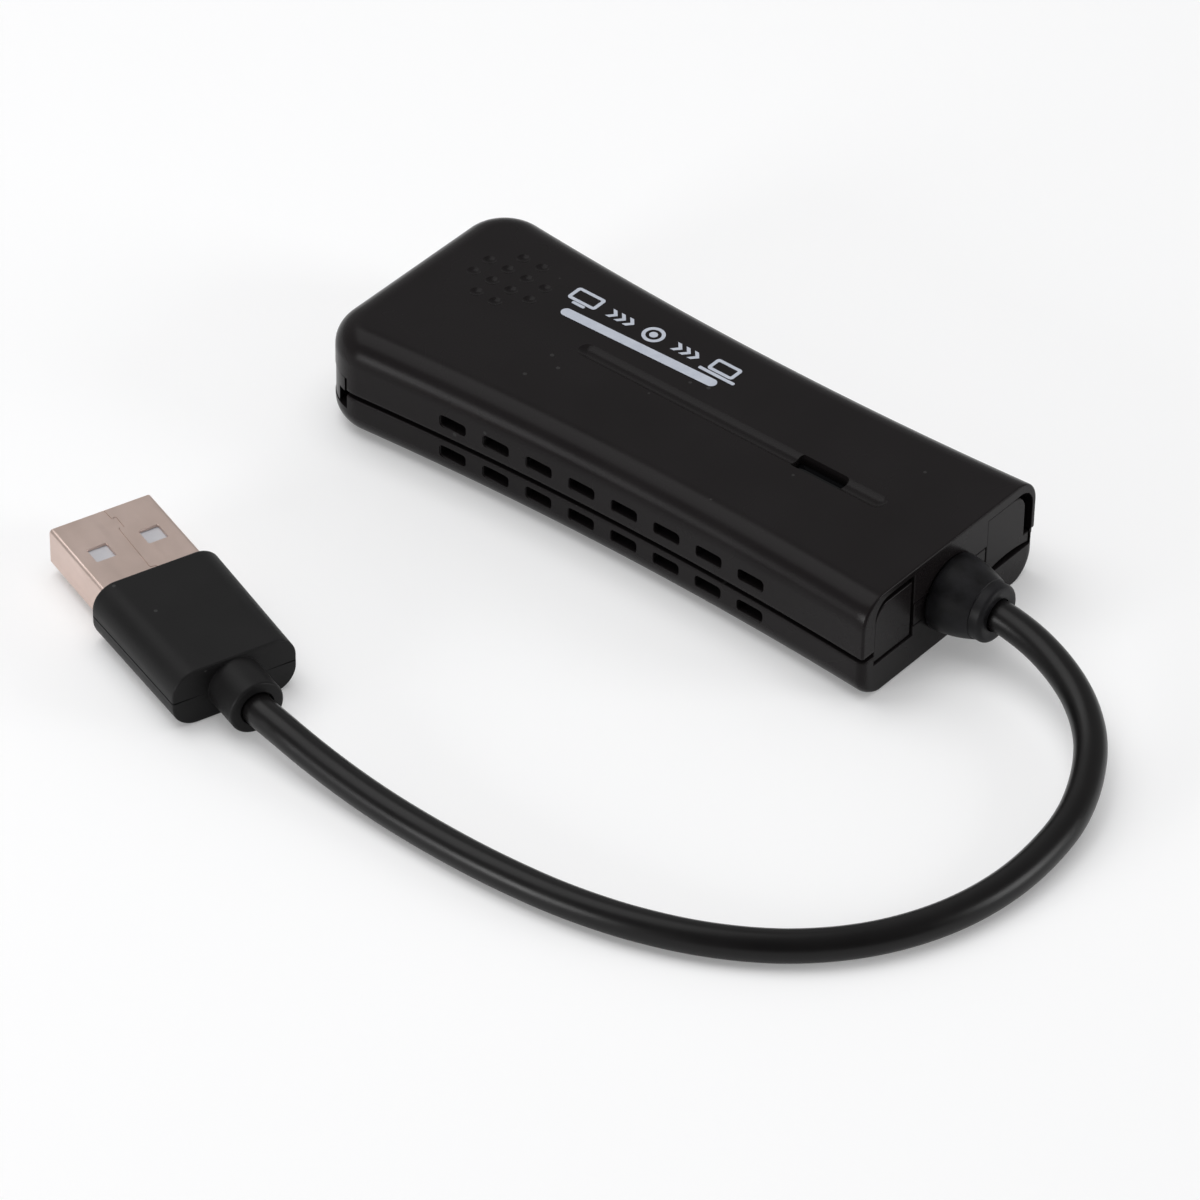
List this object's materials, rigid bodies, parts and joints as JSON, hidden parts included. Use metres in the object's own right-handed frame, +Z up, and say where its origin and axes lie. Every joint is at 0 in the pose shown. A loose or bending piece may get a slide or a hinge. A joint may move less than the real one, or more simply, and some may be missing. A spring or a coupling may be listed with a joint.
{
  "type": "video capture box",
  "caption": "Flat black stick-shaped video capture box with waisted sides, vent slots, a video socket in one end and a short captive data cord with a type-A plug at the other.",
  "frame": {"origin": "under the middle of the casing, on the surface that it lies on", "axes": "+X along the casing toward the cord end, +Y across it, +Z up through the top face"},
  "size_m": [0.1084, 0.0787, 0.0128],
  "materials": {
    "casing_plastic": "fine satin moulded black",
    "light_pipe_plastic": "smoked, polished",
    "board_laminate": "green solder mask",
    "socket_metal": "nickel plated sheet",
    "socket_insulator": "moulded black",
    "contact_gold": "gold plated",
    "chip_epoxy": "moulded black epoxy",
    "lead_metal": "tinned",
    "can_metal": "drawn can",
    "ferrite": "sintered grey",
    "ceramic": "fired ceramic",
    "led_lens": "clear lens",
    "wire_red": "soft insulation",
    "wire_white": "soft insulation",
    "wire_green": "soft insulation",
    "wire_black": "soft insulation",
    "cord_jacket": "matte soft black",
    "plug_metal": "warm nickel plated sheet",
    "plug_insulator": "moulded white"
  },
  "bodies": {
    "root": {"top_shell": "casing_plastic", "bottom_shell": "casing_plastic", "left_end_panel": "casing_plastic", "right_end_panel": "casing_plastic", "port_panel": "casing_plastic", "light_pipe": "light_pipe_plastic", "main_board": "board_laminate", "video_socket_shell": "socket_metal", "video_socket_tongue": "socket_insulator", "video_socket_contacts": "contact_gold", "input_chip": "chip_epoxy", "capture_chip": "chip_epoxy", "capture_chip_leads": "lead_metal", "memory_chip": "chip_epoxy", "memory_chip_leads": "lead_metal", "crystal": "can_metal", "regulators": "chip_epoxy", "power_inductor": "ferrite", "bulk_capacitor": "can_metal", "ceramic_capacitors": "ceramic", "resistors": "chip_epoxy", "status_led": "led_lens", "solder_joints": "lead_metal", "supply_wire": "wire_red", "data_minus_wire": "wire_white", "data_plus_wire": "wire_green", "ground_wire": "wire_black", "shield_drain_wire": "lead_metal", "cord_inner_end": "cord_jacket", "strain_relief": "cord_jacket", "cord": "cord_jacket", "plug_grip": "cord_jacket", "plug_shell": "plug_metal", "plug_tongue": "plug_insulator", "plug_contacts": "contact_gold"}
  },
  "joints": []
}
